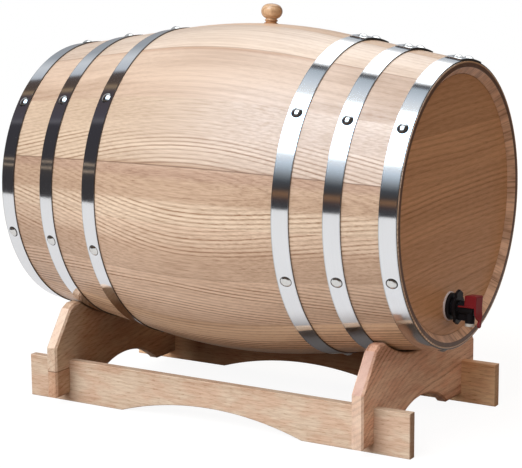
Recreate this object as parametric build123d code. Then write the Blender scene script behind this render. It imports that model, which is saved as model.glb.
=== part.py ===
from build123d import *
import math
import os

# Oak cask of about 50 litres, lying in a sawn cradle, with a turned bung on
# top and a press-lever tap low in its front head.
# Millimetres and degrees. +Z is up, -Y is the tap end, and X runs across.
# The origin is on the floor, under the middle of the whole object's box.

# ---- Driving dimensions -------------------------------------------------
CASK_LENGTH = 560.0        # over the stave ends
BELLY_R = 208.0            # outside radius at the bilge, the widest place
BEND_HALF = 105.0          # half-length of the bent middle of a stave
END_SLOPE = 9.05           # the straight ends of the staves lean in this much
STAVE_THICK = 16.0
AXIS_Z = 280.4             # height of the cask's axis above the floor
CASK_ROLL = 8.0            # how far the cask lies rolled over in its cradle
# Cask staves come in mixed widths, here as degrees of the circle. The first
# is the bung stave, the widest, and the others follow it round.
STAVE_WIDTHS = (26.0, 21.5, 24.5, 24.0, 19.0, 18.8, 20.2, 21.0,
                24.0, 22.0, 25.0, 21.0, 26.0, 20.0, 24.0, 23.0)

CHIME_DEPTH = 8.0          # the head's face lies this far inside the rim
CHIME_EDGE = 6.5           # thickness left at the very end of a stave
HEAD_THICK = 18.0
CROZE_DEPTH = 5.0          # groove round the inside that holds the head
CROZE_MOUTH = 11.6
CROZE_FLOOR = 6.4
TONGUE_WIDTH = 5.6         # edge of the head, which stands in the croze
TONGUE_GAP = 0.25
HEAD_INNER_BEVEL = 14.0
HEAD_OUTER_BEVEL = 2.6     # length of the bevel from the tongue outwards
HEAD_GAP = 0.5             # from the head's face to the staves round it
BOARD_SEAMS = (-86.0, -27.0, 34.0, 91.0)   # heights of the head's four joints
DOWEL_R = 4.0
DOWEL_LENGTH = 34.0
DOWEL_SPACING = 116.0

HOOP_WIDTH = 21.0
HOOP_THICK = 1.5
FRONT_HOOPS = (-268.7, -203.2, -141.5)     # middles of the hoops along Y
REAR_HOOPS = (269.0, 200.5, 127.0)
LAP_ANGLE = 19.0           # length of the riveted lap, as degrees of the hoop
RIVET_ANGLE = 10.5         # between the two rivets of a lap
# Laps and nails are placed by their turn from the bung line towards -X.
FRONT_LAP_AT = 0.0
REAR_LAP_AT = 236.5
FRONT_NAILS = (60.0, 120.0, 180.0, 240.0, 300.0)
REAR_NAILS = (7.5, 59.3, 116.0, 176.0, 300.0)
NAIL_HEAD_R = 6.4
NAIL_HEAD_HEIGHT = 3.0
NAIL_SHANK = 2.6           # the shank is square
NAIL_SHANK_LENGTH = 11.0

BUNG_R = 8.8               # plug radius where it leaves the stave
BUNG_TAPER = 0.065         # radius lost per millimetre of depth
BUNG_PLUG = 25.0
BUNG_FIT = 0.05            # radial clearance of the plug in its hole
BUNG_SHOULDER_Z = 0.8      # top of the plug above the stave
BUNG_SHOULDER = 0.9        # rise of the slope from the plug to the neck
BUNG_NECK_R = 6.9
BUNG_BEAD_R = 8.2
BUNG_BEAD_Z = 4.3
BUNG_BEAD_HALF = 1.5
BUNG_KNOB_R = 13.6
BUNG_KNOB_SIDE_R = 9.4     # the flattened ball is rounder at its side
BUNG_CROWN_RISE = 10.0     # from the ball's widest place to its top
BUNG_HEIGHT = 25.6         # top of the ball above the stave

TAP_DROP = 121.7           # tap's axis below the cask's axis
TAP_TURN = 7.0             # it hangs a degree off the bung's line
GLAND_FLANGE_R = 17.8
GLAND_FLANGE = 2.0
GLAND_ROUND = 0.9
GLAND_R = 13.0
GLAND_LENGTH = 22.5
GLAND_LIP_R = 13.7
GLAND_LIP = 3.2
GLAND_LEAD = 0.6           # the lip starts this much inside the sleeve
SPIGOT_R = 10.5
SPIGOT_LENGTH = 23.0
WATERWAY_R = 7.5
COLLAR_R = 16.4
COLLAR = 4.0
COLLAR_ROUND = 1.4
NECK_R = 11.0
GRIP_AT = 10.4             # distances along the tap are from the head's face
GRIP = 3.2
GRIP_R = 15.5
GRIP_TAB = 9.5             # half-width of the finger tabs above and below
GRIP_TAB_Z = 17.0          # shoulders of a tab
GRIP_TIP_Z = 21.4          # its point, before rounding
GRIP_TIP_ROUND = 2.0
GRIP_ROUND = 0.8
BARREL_R = 8.2
BARREL_END = 34.0
CHAMBER_R = 6.4
SEAT_AT = 14.0
SEAT = 2.0
SEAT_HOLE_R = 4.5
KEEL_Z = 15.4              # depth of the web between grip and nozzle
KEEL_THICK = 5.0
NOZZLE_AT = 28.2
NOZZLE_R = 5.8
NOZZLE_BORE_R = 4.4
NOZZLE_DROP = 18.0
SPOUT_R = 5.6              # foot of the pale liner, below the nozzle
SPOUT_BORE_R = 3.6
SPOUT_DROP = 21.6
SPOUT_SLEEVE = 9.0         # length of the liner up inside the nozzle
PIVOT_AT = 28.0
PIVOT_Z = 12.5
PIVOT_R = 1.7
PIVOT_FIT = 0.05
PIVOT_BITE = 1.0           # depth of the trunnions' sockets in the lever
LEVER_WIDTH = 20.6
LEVER_WALL = 1.8
LEVER_ROOF = 1.6
LEVER_TOP = 16.0
LEVER_REAR = 23.8
LEVER_CORNER = 1.8
LEVER_ROUND = 1.2          # along the two upper edges
RIM_REAR = 16.3            # the rim runs back beyond the skirt
RIM_Z = 1.4
RIM = 1.6
RIM_WIDTH = 22.0
FLAP_AT = 37.2             # inner face of the lever's front flap
FLAP = 1.8
FLARE_OUT_R = 47.8         # the flap swings out and turns down again
FLARE_BACK_R = 18.2
FLARE_ANGLE = 16.0
FLAP_SHOULDER_Z = -2.0     # the flap narrows from here to its neck
FLAP_BELLY = 8.4
FLAP_BELLY_Z = -9.4
FLAP_NECK = 2.9
FLAP_NECK_Z = -14.0
FLAP_PAD_R = 4.5           # round finger pad at the tip
FLAP_DROP = 22.5
STEM_R = 2.0
STEM_ROUND = 0.9
STEM_FIT = 0.05
STEM_GAP = 0.12            # from the stem's tip to the flap at rest
BUTTON = 1.6
SEAL_R = 6.4
SEAL = 2.5
SEAL_GAP = 0.05            # from the seal to the valve's seat
PLUG_DEPTH = 1.6           # depth of the diaphragm in the chamber
BOOT_R = 3.4               # flat middle of the diaphragm
DOME = 0.6                 # its rise

RAIL_OUTER_X = 129.6
RAIL_THICK = 12.0
RAIL_HEIGHT = 55.0
RAIL_LENGTH = 555.0
RAIL_ARCH_HALF = 132.0
RAIL_ARCH_RISE = 21.0
SADDLE_THICK = 16.0
SADDLE_Y = 222.0
SADDLE_HALF = 157.0        # half the width over the outer teeth
SADDLE_FOOT_Z = 10.4       # underside of the teeth
SADDLE_SIDE_Z = 76.3       # top of the upright sides
SADDLE_EAR_X = 124.0       # top of the sloping sides
SADDLE_EAR_Z = 122.0
SADDLE_TIP_X = 114.0
SADDLE_TIP_Z = 127.4
SADDLE_ARCH_Z = 37.5
SADDLE_ARCH_R = 118.0
SEAT_CLEAR = 0.3
LAP_Z = 33.0               # height at which rail and saddle halve together
RAIL_BREAK = 0.8           # chamfers along the cradle's edges
SADDLE_BREAK = 2.4
CUT_PAST = 5.0             # how far a cutting tool runs past the piece

# ---- Worked out from them -----------------------------------------------
CASK_HALF = CASK_LENGTH / 2
END_TAN = math.tan(math.radians(END_SLOPE))
BEND_DROP = BEND_HALF * math.tan(math.radians(END_SLOPE / 2))
HEAD_FACE = CASK_HALF - CHIME_DEPTH
FLAP_FRONT = FLAP_AT + FLAP
FLAP_FLARE = (FLARE_OUT_R + FLARE_BACK_R) * (1 - math.cos(math.radians(FLARE_ANGLE)))
LEVER_INSIDE = LEVER_WIDTH - 2 * LEVER_WALL
# The tap stands out past the cask's front end, so the middle of the whole
# box lies in front of the middle of the cask.
CENTRE_Y = (HEAD_FACE + FLAP_FRONT + FLAP_FLARE - CASK_HALF) / 2

CRADLE_AT = Pos(0, CENTRE_Y, 0)
CASK_LEVEL = Pos(0, CENTRE_Y, AXIS_Z)
CASK_AT = CASK_LEVEL * Rot(0, CASK_ROLL, 0)
# In the tap's own frame +Z points out of the head and +Y points up.
TAP_AT = CASK_LEVEL * Rot(0, TAP_TURN, 0) * Pos(0, -HEAD_FACE, -TAP_DROP) * Rot(90, 0, 0)


def cask_radius(y):
    """Outside radius of the cask: an arc in the middle, cones beyond it."""
    reach = abs(y)
    if reach > BEND_HALF:
        return BELLY_R - BEND_DROP - (reach - BEND_HALF) * END_TAN
    bend_r = BEND_HALF / math.sin(math.radians(END_SLOPE))
    return BELLY_R - bend_r + math.sqrt(bend_r ** 2 - reach ** 2)


def inner_radius(y):
    return cask_radius(y) - STAVE_THICK


def round_the_cask(angle):
    """Turns a piece built on +X to an angle from the bung line, -X side."""
    return Rot(0, -(90 + angle), 0)


# ---- Staves ---------------------------------------------------------------
CROZE_AT = HEAD_FACE - HEAD_THICK / 2 + 1.3


def end_points(side):
    """Inner edge of a stave from its end to its bend, with the croze."""
    mouth = CROZE_MOUTH / 2
    floor = CROZE_FLOOR / 2
    floor_r = inner_radius(CROZE_AT) + CROZE_DEPTH
    end = CASK_HALF
    stations = [
        (cask_radius(end), end),
        (cask_radius(end) - CHIME_EDGE, end),
        (inner_radius(HEAD_FACE), HEAD_FACE),
        (inner_radius(CROZE_AT + mouth), CROZE_AT + mouth),
        (floor_r, CROZE_AT + floor),
        (floor_r, CROZE_AT - floor),
        (inner_radius(CROZE_AT - mouth), CROZE_AT - mouth),
        (inner_radius(BEND_HALF), BEND_HALF),
    ]
    return [(radius, side * y) for radius, y in stations]


def stave_profile():
    """Long section of a stave: bent middle, straight ends, two crozes."""
    outer_bend = cask_radius(BEND_HALF)
    inner_bend = inner_radius(BEND_HALF)
    outline = [
        Line((cask_radius(CASK_HALF), -CASK_HALF), (outer_bend, -BEND_HALF)),
        ThreePointArc((outer_bend, -BEND_HALF), (BELLY_R, 0), (outer_bend, BEND_HALF)),
        Line((outer_bend, BEND_HALF), (cask_radius(CASK_HALF), CASK_HALF)),
        Polyline(end_points(1)),
        ThreePointArc((inner_bend, BEND_HALF), (BELLY_R - STAVE_THICK, 0),
                      (inner_bend, -BEND_HALF)),
        Polyline(list(reversed(end_points(-1)))),
    ]
    return make_face(outline)


def plug_radius(height):
    """Radius of the bung's plug at a height above the stave's surface."""
    return BUNG_R + BUNG_TAPER * height


def bung_hole():
    deep = -(STAVE_THICK + CUT_PAST)
    tall = CUT_PAST
    cone = Cone(plug_radius(deep) + BUNG_FIT, plug_radius(tall) + BUNG_FIT, tall - deep)
    return Pos(0, 0, BELLY_R + (tall + deep) / 2) * cone


def stave(start, width):
    """One stave, revolved through its own width, its edges on radii."""
    board = revolve(stave_profile(), axis=Axis.Y, revolution_arc=width)
    return round_the_cask(start + width) * board


def staves():
    pieces = {}
    start = -STAVE_WIDTHS[0] / 2
    for number, width in enumerate(STAVE_WIDTHS):
        board = stave(start, width)
        name = f"stave_{number:02d}"
        if number == 0:
            board = board - bung_hole()
            name = "bung_stave"
        pieces[name] = CASK_AT * board
        start += width
    return pieces


# ---- Heads ------------------------------------------------------------------
def head_disc():
    """Round head, bevelled on both faces to a tongue that fills the croze."""
    inner_face = HEAD_FACE - HEAD_THICK
    tongue_r = inner_radius(CROZE_AT) + CROZE_DEPTH - TONGUE_GAP
    half = TONGUE_WIDTH / 2
    outline = Polyline(
        (0, inner_face),
        (inner_radius(inner_face) - HEAD_INNER_BEVEL, inner_face),
        (tongue_r, CROZE_AT - half),
        (tongue_r, CROZE_AT + half),
        (inner_radius(HEAD_FACE) - HEAD_GAP, CROZE_AT + half + HEAD_OUTER_BEVEL),
        (inner_radius(HEAD_FACE) - HEAD_GAP, HEAD_FACE),
        (0, HEAD_FACE),
        close=True,
    )
    return revolve(make_face(outline), axis=Axis.Y)


def dowels():
    """Two dowels across every joint between two head boards."""
    middle = HEAD_FACE - HEAD_THICK / 2
    return [
        Pos(side * DOWEL_SPACING / 2, middle, seam) * Cylinder(DOWEL_R, DOWEL_LENGTH)
        for seam in BOARD_SEAMS
        for side in (-1, 1)
    ]


def head_boards(disc):
    """The disc sawn into level boards, from the lowest up."""
    limits = (-BELLY_R,) + BOARD_SEAMS + (BELLY_R,)
    boards = []
    for low, high in zip(limits, limits[1:]):
        slab = Pos(0, HEAD_FACE, (low + high) / 2) * Box(2 * BELLY_R, 2 * HEAD_THICK, high - low)
        boards.append(disc & slab)
    return boards


def heads():
    """Both heads, their boards laid level, with the tap's hole in front."""
    disc = head_disc() - dowels()
    tap_hole = CASK_LEVEL.inverse() * TAP_AT * Cylinder(GLAND_R, 3 * HEAD_THICK)
    turns = {"rear": Rot(0, 0, 0), "front": Rot(0, 0, 180)}
    pieces = {}
    for end, turn in turns.items():
        for number, board in enumerate(head_boards(disc), start=1):
            placed = turn * board
            if end == "front" and number == 1:
                placed = placed - tap_hole
            pieces[f"{end}_head_board_{number}"] = CASK_LEVEL * placed
        pins = [CASK_LEVEL * turn * pin for pin in dowels()]
        pieces[f"{end}_head_dowels"] = Compound(children=pins)
    return pieces


# ---- Hoops -------------------------------------------------------------------
def hoop_band(middle, lift):
    """Section of the strip, lying on the staves or on a turn already there."""
    low = middle - HOOP_WIDTH / 2
    high = middle + HOOP_WIDTH / 2
    return make_face(Polyline(
        (cask_radius(low) + lift, low),
        (cask_radius(high) + lift, high),
        (cask_radius(high) + lift + HOOP_THICK, high),
        (cask_radius(low) + lift + HOOP_THICK, low),
        close=True,
    ))


def hoop(middle, lap_at):
    """A strip closed round the cask, its end lapped over and riveted."""
    ring = revolve(hoop_band(middle, 0), axis=Axis.Y)
    lap = revolve(hoop_band(middle, HOOP_THICK), axis=Axis.Y, revolution_arc=LAP_ANGLE)
    return ring + round_the_cask(lap_at + LAP_ANGLE / 2) * lap


def on_hoop(middle, angle, lift):
    """Place on a hoop's outer face, +Z pointing straight out of it."""
    lean = math.copysign(END_SLOPE, middle)
    radius = cask_radius(middle) + lift
    return round_the_cask(angle) * Pos(radius, middle, 0) * Rot(0, 0, lean) * Rot(0, 90, 0)


def nail(shank_length):
    """Round-headed nail: a low dome on a thin square shank."""
    dome_r = (NAIL_HEAD_R ** 2 + NAIL_HEAD_HEIGHT ** 2) / (2 * NAIL_HEAD_HEIGHT)
    half_way = math.asin(NAIL_HEAD_R / dome_r) / 2
    half_way_z = NAIL_HEAD_HEIGHT - dome_r * (1 - math.cos(half_way))
    outline = [
        Polyline((0, NAIL_HEAD_HEIGHT), (0, 0), (NAIL_HEAD_R, 0)),
        ThreePointArc((NAIL_HEAD_R, 0), (dome_r * math.sin(half_way), half_way_z),
                      (0, NAIL_HEAD_HEIGHT)),
    ]
    head = revolve(Plane.XZ * make_face(outline), axis=Axis.Z)
    shank = Pos(0, 0, -shank_length / 2) * Box(NAIL_SHANK, NAIL_SHANK, shank_length)
    return head + shank


def hoops():
    """Six hoops, the rivets of their laps and the nails that hold them."""
    layout = [("front", FRONT_HOOPS, FRONT_LAP_AT, FRONT_NAILS),
              ("rear", REAR_HOOPS, REAR_LAP_AT, REAR_NAILS)]
    names = ("chime_hoop", "quarter_hoop", "bilge_hoop")
    pieces = {}
    rivets = []
    nails = []
    long_nail = nail(NAIL_SHANK_LENGTH)
    short_rivet = nail(2 * HOOP_THICK)
    for end, middles, lap_at, nail_turns in layout:
        for name, middle in zip(names, middles):
            pieces[f"{end}_{name}"] = CASK_AT * hoop(middle, lap_at)
            for side in (-1, 1):
                angle = lap_at + side * RIVET_ANGLE / 2
                rivets.append(CASK_AT * on_hoop(middle, angle, 2 * HOOP_THICK) * short_rivet)
            for angle in nail_turns:
                nails.append(CASK_AT * on_hoop(middle, angle, HOOP_THICK) * long_nail)
    pieces["hoop_rivets"] = Compound(children=rivets)
    pieces["hoop_nails"] = Compound(children=nails)
    return pieces


# ---- Bung ---------------------------------------------------------------------
def bung():
    """Turned stopper: taper plug, beaded neck and a flattened ball."""
    knob_z = BUNG_HEIGHT - BUNG_CROWN_RISE
    # Crown and side are two arcs that meet smoothly.
    inset = BUNG_KNOB_R - BUNG_KNOB_SIDE_R
    crown_r = (inset ** 2 + BUNG_CROWN_RISE ** 2 - BUNG_KNOB_SIDE_R ** 2) / (
        2 * (BUNG_CROWN_RISE - BUNG_KNOB_SIDE_R))
    crown_angle = math.degrees(math.atan2(inset, crown_r - BUNG_CROWN_RISE))
    under = math.acos(1 - (BUNG_KNOB_R - BUNG_NECK_R) / BUNG_KNOB_SIDE_R)
    widest = (BUNG_KNOB_R, knob_z)
    side = JernArc(widest, (0, 1), BUNG_KNOB_SIDE_R, 90 - crown_angle)
    crown = JernArc(side @ 1, side % 1, crown_r, crown_angle)
    below = JernArc(widest, (0, -1), BUNG_KNOB_SIDE_R, -math.degrees(under))
    slope_z = BUNG_SHOULDER_Z + BUNG_SHOULDER
    bead_low = BUNG_BEAD_Z - BUNG_BEAD_HALF
    bead_high = BUNG_BEAD_Z + BUNG_BEAD_HALF
    outline = [
        Polyline((0, BUNG_HEIGHT), (0, -BUNG_PLUG), (plug_radius(-BUNG_PLUG), -BUNG_PLUG),
                 (plug_radius(BUNG_SHOULDER_Z), BUNG_SHOULDER_Z), (BUNG_NECK_R, slope_z),
                 (BUNG_NECK_R, bead_low)),
        ThreePointArc((BUNG_NECK_R, bead_low), (BUNG_BEAD_R, BUNG_BEAD_Z),
                      (BUNG_NECK_R, bead_high)),
        Line((BUNG_NECK_R, bead_high), below @ 1),
        below,
        side,
        crown,
    ]
    turned = revolve(Plane.XZ * make_face(outline), axis=Axis.Z)
    return CASK_AT * Pos(0, 0, BELLY_R) * turned


# ---- Tap ------------------------------------------------------------------------
def along(radius, start, end):
    """Round bar along the tap's axis."""
    return Pos(0, 0, (start + end) / 2) * Cylinder(radius, end - start)


def gland():
    """Bush pressed into the head: outer flange, sleeve and a snap lip."""
    sleeve = along(GLAND_R, -GLAND_LENGTH, 0)
    flange = along(GLAND_FLANGE_R, 0, GLAND_FLANGE)
    flange = fillet(flange.edges().group_by(Axis.Z)[-1], GLAND_ROUND)
    lip = Pos(0, 0, GLAND_LIP / 2 - GLAND_LENGTH) * Cone(
        GLAND_R - GLAND_LEAD, GLAND_LIP_R, GLAND_LIP)
    return sleeve + flange + lip - along(SPIGOT_R, -2 * GLAND_LENGTH, 2 * GLAND_LENGTH)


def below_tap(radius, top, bottom):
    """Upright round bar on the nozzle's axis, from one depth to another."""
    middle = -(top + bottom) / 2
    return Pos(0, middle, NOZZLE_AT) * Rot(90, 0, 0) * Cylinder(radius, bottom - top)


def grip_outline():
    """Disc with a finger tab above and one below, each coming to a point."""
    tabs = make_face(Polyline(
        (-GRIP_TAB, -GRIP_TAB_Z), (0, -GRIP_TIP_Z), (GRIP_TAB, -GRIP_TAB_Z),
        (GRIP_TAB, GRIP_TAB_Z), (0, GRIP_TIP_Z), (-GRIP_TAB, GRIP_TAB_Z),
        close=True,
    ))
    tabs = fillet(tabs.vertices(), GRIP_TIP_ROUND)
    return tabs + Circle(GRIP_R)


def tap_casing():
    """Everything on the tap's body that can be seen, before it is bored."""
    collar = along(COLLAR_R, GLAND_FLANGE, GLAND_FLANGE + COLLAR)
    collar = fillet(collar.edges().group_by(Axis.Z)[-1], COLLAR_ROUND)
    grip = Pos(0, 0, GRIP_AT) * extrude(grip_outline(), GRIP)
    grip = chamfer(grip.edges().group_by(Axis.Z)[-1], GRIP_ROUND)
    neck = along(NECK_R, GLAND_FLANGE, GRIP_AT + GRIP / 2)
    spigot = along(SPIGOT_R, -SPIGOT_LENGTH, GLAND_FLANGE)
    barrel = along(BARREL_R, GRIP_AT, BARREL_END)
    nozzle = below_tap(NOZZLE_R, 0, NOZZLE_DROP)
    keel = Pos(0, -KEEL_Z / 2, (GRIP_AT + NOZZLE_AT) / 2) * Box(
        KEEL_THICK, KEEL_Z, NOZZLE_AT - GRIP_AT)
    bracket = Pos(0, PIVOT_Z / 2, PIVOT_AT) * Box(
        LEVER_INSIDE - 2 * PIVOT_BITE, PIVOT_Z, 2 * PIVOT_R)
    return collar + grip + neck + spigot + barrel + nozzle + keel + bracket


def tap_body():
    """Casing, trunnion bar, and the way through: bore, seat and nozzle."""
    trunnion = Pos(0, PIVOT_Z, PIVOT_AT) * Rot(0, 90, 0) * Cylinder(
        PIVOT_R, LEVER_INSIDE + 2 * PIVOT_BITE - 2 * PIVOT_FIT)
    waterway = along(WATERWAY_R, -2 * SPIGOT_LENGTH, SEAT_AT)
    seat = along(SEAT_HOLE_R, SEAT_AT - 1, SEAT_AT + SEAT + 1)
    chamber = along(CHAMBER_R, SEAT_AT + SEAT, BARREL_END + CUT_PAST)
    outlet = below_tap(NOZZLE_BORE_R, 0, NOZZLE_DROP + CUT_PAST)
    return tap_casing() + trunnion - waterway - seat - chamber - outlet


def spout():
    """Pale liner in the nozzle, standing out below it as a short foot."""
    sleeve = below_tap(NOZZLE_BORE_R, NOZZLE_DROP - SPOUT_SLEEVE, SPOUT_DROP)
    foot = below_tap(SPOUT_R, NOZZLE_DROP, SPOUT_DROP)
    return sleeve + foot - below_tap(SPOUT_BORE_R, 0, SPOUT_DROP + CUT_PAST)


def diaphragm():
    """Rubber end of the chamber, domed round the stem that slides in it."""
    outline = Polyline(
        (STEM_R + STEM_FIT, BARREL_END - PLUG_DEPTH),
        (CHAMBER_R, BARREL_END - PLUG_DEPTH),
        (CHAMBER_R, BARREL_END),
        (BOOT_R, BARREL_END + DOME),
        (STEM_R + STEM_FIT, BARREL_END + DOME),
        close=True,
    )
    return revolve(Plane.XZ * make_face(outline), axis=Axis.Z)


SEAL_BACK = SEAT_AT - SEAL - SEAL_GAP


def valve_stem():
    """Stem with a button behind the seal and a rounded tip at the flap."""
    rod = along(STEM_R, SEAL_BACK - BUTTON - 0.6, FLAP_AT - STEM_GAP)
    rod = fillet(rod.edges().group_by(Axis.Z)[-1], STEM_ROUND)
    return rod + along(2 * STEM_R, SEAL_BACK - BUTTON, SEAL_BACK)


def valve_seal():
    """Rubber washer that closes against the inner side of the seat."""
    washer = along(SEAL_R, SEAL_BACK, SEAL_BACK + SEAL)
    return washer - along(STEM_R, SEAL_BACK - 1, SEAL_BACK + SEAL + 1)


def flap_edge(start, out_r, back_r):
    """One face of the flap in side view: out, back, and straight down."""
    out = JernArc(start, (0, -1), out_r, FLARE_ANGLE)
    back = JernArc(out @ 1, out % 1, back_r, -FLARE_ANGLE)
    foot = Line(back @ 1, (start[0] + FLAP_FLARE, -FLAP_DROP))
    return [out, back, foot]


def lever_side():
    """Side view of the lever, x outwards and y up, cap and front flap."""
    outline = [
        Polyline((LEVER_REAR, RIM_Z), (LEVER_REAR, LEVER_TOP - LEVER_CORNER)),
        RadiusArc((LEVER_REAR, LEVER_TOP - LEVER_CORNER),
                  (LEVER_REAR + LEVER_CORNER, LEVER_TOP), LEVER_CORNER),
        Line((LEVER_REAR + LEVER_CORNER, LEVER_TOP), (FLAP_FRONT - LEVER_CORNER, LEVER_TOP)),
        RadiusArc((FLAP_FRONT - LEVER_CORNER, LEVER_TOP),
                  (FLAP_FRONT, LEVER_TOP - LEVER_CORNER), LEVER_CORNER),
        Line((FLAP_FRONT, LEVER_TOP - LEVER_CORNER), (FLAP_FRONT, RIM_Z)),
        *flap_edge((FLAP_FRONT, RIM_Z), FLARE_OUT_R - FLAP, FLARE_BACK_R + FLAP),
        Line((FLAP_FRONT + FLAP_FLARE, -FLAP_DROP), (FLAP_AT + FLAP_FLARE, -FLAP_DROP)),
        *flap_edge((FLAP_AT, RIM_Z), FLARE_OUT_R, FLARE_BACK_R),
        Line((FLAP_AT, RIM_Z), (LEVER_REAR, RIM_Z)),
    ]
    return make_face(outline)


def lever_front():
    """Front view of the lever: a shield, a narrow neck and a round pad."""
    half = LEVER_WIDTH / 2
    top = LEVER_TOP + CUT_PAST
    pad_z = FLAP_PAD_R - FLAP_DROP
    right = [
        Polyline((0, pad_z), (0, top), (half, top), (half, FLAP_SHOULDER_Z)),
        ThreePointArc((half, FLAP_SHOULDER_Z), (FLAP_BELLY, FLAP_BELLY_Z),
                      (FLAP_NECK, FLAP_NECK_Z)),
        Polyline((FLAP_NECK, FLAP_NECK_Z), (FLAP_NECK, pad_z), (0, pad_z)),
    ]
    half_face = make_face(right)
    pad = Pos(0, pad_z) * Circle(FLAP_PAD_R)
    return half_face + mirror(half_face, about=Plane.YZ) + pad


def tap_lever():
    """Press lever: a cap over the barrel, turning on the trunnions."""
    side_plane = Plane(origin=(0, 0, 0), x_dir=(0, 0, 1), z_dir=(-1, 0, 0))
    cap = extrude(side_plane * lever_side(), LEVER_WIDTH / 2, both=True)
    cap = fillet(cap.edges().filter_by(Axis.Z).group_by(Axis.Y)[-1], LEVER_ROUND)
    cap = cap & extrude(lever_front(), 2 * FLAP_FRONT)
    rim = Pos(0, RIM_Z + RIM / 2, (RIM_REAR + FLAP_AT) / 2) * Box(
        RIM_WIDTH, RIM, FLAP_AT - RIM_REAR)
    channel = Pos(0, LEVER_TOP - LEVER_ROOF - FLAP_FRONT / 2, FLAP_AT / 2) * Box(
        LEVER_INSIDE, FLAP_FRONT, FLAP_AT)
    sockets = Pos(0, PIVOT_Z, PIVOT_AT) * Rot(0, 90, 0) * Cylinder(
        PIVOT_R + PIVOT_FIT, LEVER_INSIDE + 2 * PIVOT_BITE)
    return cap + rim - channel - sockets


def tap():
    parts = {
        "tap_gland": gland(),
        "tap_body": tap_body(),
        "tap_spout": spout(),
        "tap_diaphragm": diaphragm(),
        "tap_lever": tap_lever(),
        "valve_stem": valve_stem(),
        "valve_seal": valve_seal(),
    }
    return {name: TAP_AT * piece for name, piece in parts.items()}


# ---- Cradle ----------------------------------------------------------------------
def rail(side):
    """Side rail with an arched underside, halved for both saddles."""
    half = RAIL_LENGTH / 2
    outline = [
        Polyline((RAIL_ARCH_HALF, 0), (half, 0), (half, RAIL_HEIGHT), (-half, RAIL_HEIGHT),
                 (-half, 0), (-RAIL_ARCH_HALF, 0)),
        ThreePointArc((-RAIL_ARCH_HALF, 0), (0, RAIL_ARCH_RISE), (RAIL_ARCH_HALF, 0)),
    ]
    board = extrude(Plane.YZ * make_face(outline), RAIL_THICK)
    edges = board.faces().sort_by(Axis.X)[0].edges() + board.faces().sort_by(Axis.X)[-1].edges()
    board = chamfer(edges, RAIL_BREAK)
    for y in (-SADDLE_Y, SADDLE_Y):
        board -= Pos(RAIL_THICK / 2, y, LAP_Z + RAIL_HEIGHT / 2) * Box(
            2 * RAIL_THICK, SADDLE_THICK, RAIL_HEIGHT)
    start = RAIL_OUTER_X - RAIL_THICK if side > 0 else -RAIL_OUTER_X
    return CRADLE_AT * Pos(start, 0, 0) * board


def saddle_outline():
    """Front view of a saddle: teeth, sloping ears, round seat and arch."""
    seat_edge = SADDLE_Y - SADDLE_THICK / 2 + SADDLE_BREAK
    seat_r = cask_radius(seat_edge) + SEAT_CLEAR
    seat_x = math.sqrt(seat_r ** 2 - (AXIS_Z - SADDLE_TIP_Z) ** 2)
    arch_centre = SADDLE_ARCH_Z - SADDLE_ARCH_R
    arch_x = math.sqrt(SADDLE_ARCH_R ** 2 - (SADDLE_FOOT_Z - arch_centre) ** 2)
    outline = [
        ThreePointArc((-seat_x, SADDLE_TIP_Z), (0, AXIS_Z - seat_r), (seat_x, SADDLE_TIP_Z)),
        Polyline((seat_x, SADDLE_TIP_Z), (SADDLE_TIP_X, SADDLE_TIP_Z),
                 (SADDLE_EAR_X, SADDLE_EAR_Z), (SADDLE_HALF, SADDLE_SIDE_Z),
                 (SADDLE_HALF, SADDLE_FOOT_Z), (arch_x, SADDLE_FOOT_Z)),
        ThreePointArc((arch_x, SADDLE_FOOT_Z), (0, SADDLE_ARCH_Z), (-arch_x, SADDLE_FOOT_Z)),
        Polyline((-arch_x, SADDLE_FOOT_Z), (-SADDLE_HALF, SADDLE_FOOT_Z),
                 (-SADDLE_HALF, SADDLE_SIDE_Z), (-SADDLE_EAR_X, SADDLE_EAR_Z),
                 (-SADDLE_TIP_X, SADDLE_TIP_Z), (-seat_x, SADDLE_TIP_Z)),
    ]
    return make_face(outline)


def saddle(y):
    """Cross board under the cask, slotted down over both rails."""
    board = extrude(Plane.XZ * saddle_outline(), SADDLE_THICK / 2, both=True)
    edges = board.faces().sort_by(Axis.Y)[0].edges() + board.faces().sort_by(Axis.Y)[-1].edges()
    board = chamfer(edges, SADDLE_BREAK)
    slot_middle = RAIL_OUTER_X - RAIL_THICK / 2
    for x in (-slot_middle, slot_middle):
        board -= Pos(x, 0, LAP_Z - RAIL_HEIGHT / 2) * Box(
            RAIL_THICK, 2 * SADDLE_THICK, RAIL_HEIGHT)
    return CRADLE_AT * Pos(0, y, 0) * board


def cradle():
    return {
        "left_rail": rail(-1),
        "right_rail": rail(1),
        "front_saddle": saddle(-SADDLE_Y),
        "rear_saddle": saddle(SADDLE_Y),
    }


# ---- Write every piece to its own file ---------------------------------------------
pieces = {**staves(), **heads(), **hoops(), "bung": bung(), **tap(), **cradle()}
os.makedirs("parts", exist_ok=True)
for name, piece in pieces.items():
    export_step(piece, f"parts/{name}.step")
print(len(pieces), "pieces written")
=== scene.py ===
# %% [markdown]
# # A small oak cask with a tap, lying in its cradle
# The exact solids come from the CAD model: sixteen staves, two boarded heads,
# six hoops, the tap and the cradle. This lesson gives them their finish. Oak
# needs growth rings that run through each board, rolled steel needs something
# to reflect, and moulded plastic needs a skin of varied gloss and orange-peel.

# %% Load the solids
import bmesh
import bpy
import math
import random
from mathutils import Matrix, Quaternion, Vector


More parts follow.
